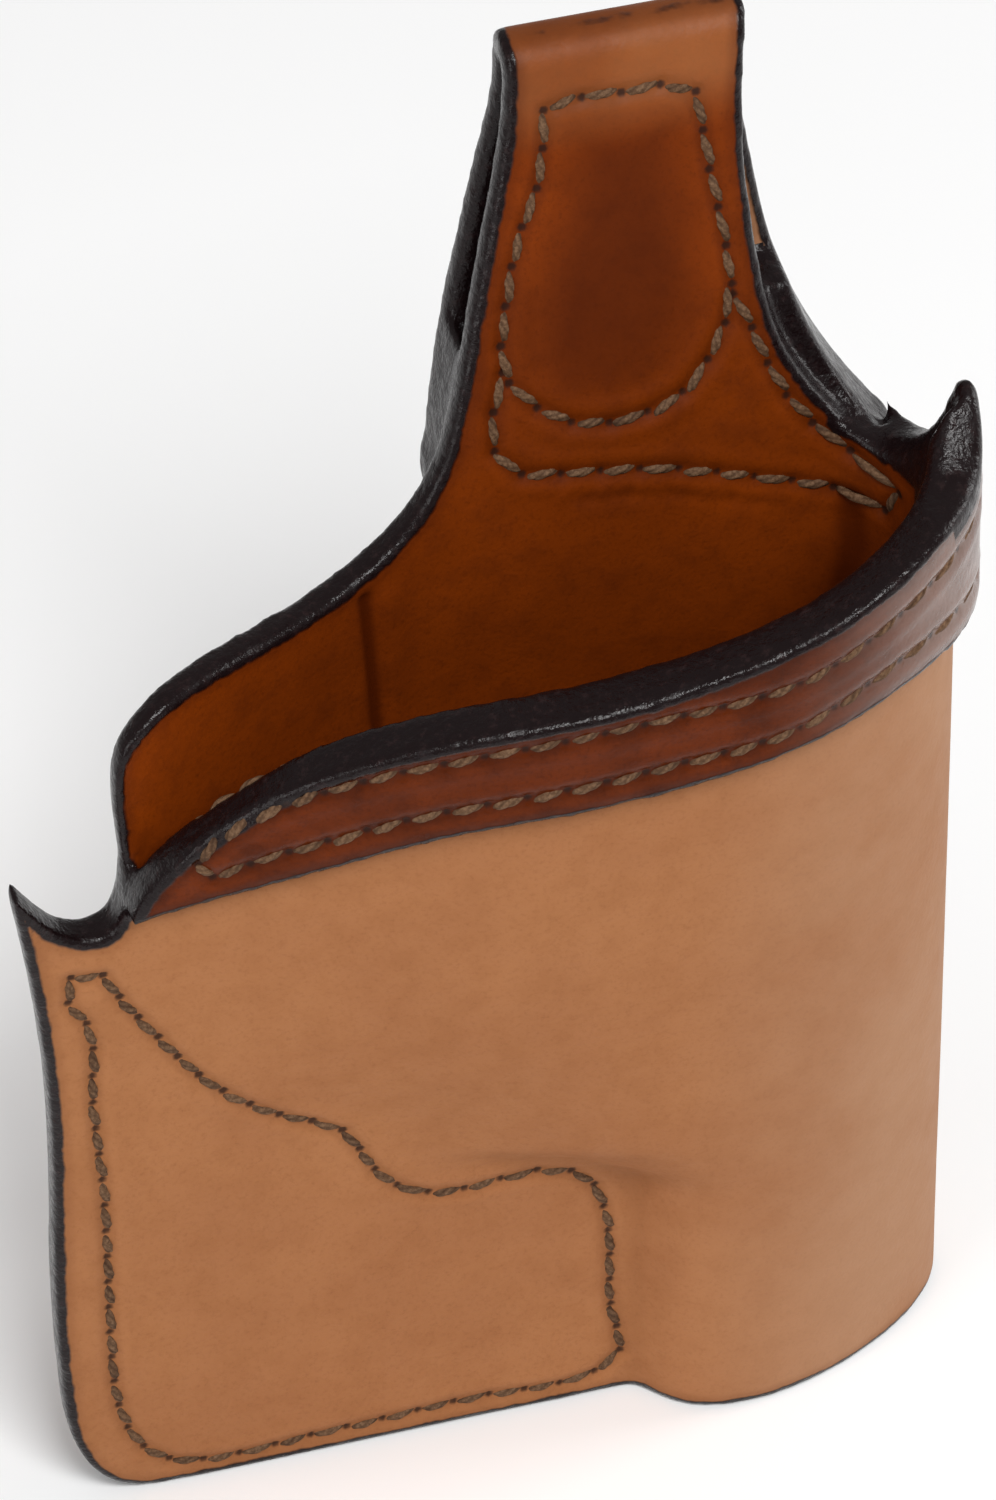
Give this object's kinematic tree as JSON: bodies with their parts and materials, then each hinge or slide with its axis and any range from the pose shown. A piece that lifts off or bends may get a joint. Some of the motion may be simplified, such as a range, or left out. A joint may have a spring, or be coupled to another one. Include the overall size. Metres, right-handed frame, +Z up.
{
  "type": "moulded leather belt case",
  "caption": "Open-topped moulded leather belt case: folded lined body with a sewn side panel, banded mouth and a folded-over belt loop on a leaning back shank.",
  "frame": {"origin": "centre of the bounding box in X and Y, on the plane of the bottom edge", "axes": "X to the right across the front, Y from the front face to the belt side, Z up from the bottom edge to the top fold"},
  "size_m": [0.109, 0.0584, 0.1703],
  "materials": {
    "outer_leather": "matte vegetable-tanned",
    "lining_leather": "semi-gloss saddle brown",
    "band_leather": "gloss red-brown",
    "thread": "waxed twisted thread"
  },
  "bodies": {
    "root": {"body": "outer_leather", "lining": "lining_leather", "mouth_band": "band_leather", "belt_spacer": "outer_leather", "main_thread_face": "thread", "main_thread_reverse": "thread", "band_thread_face": "thread", "band_thread_reverse": "thread", "shank_thread_face": "thread", "shank_thread_reverse": "thread", "flare_thread_face": "thread", "flare_thread_reverse": "thread"}
  },
  "joints": []
}
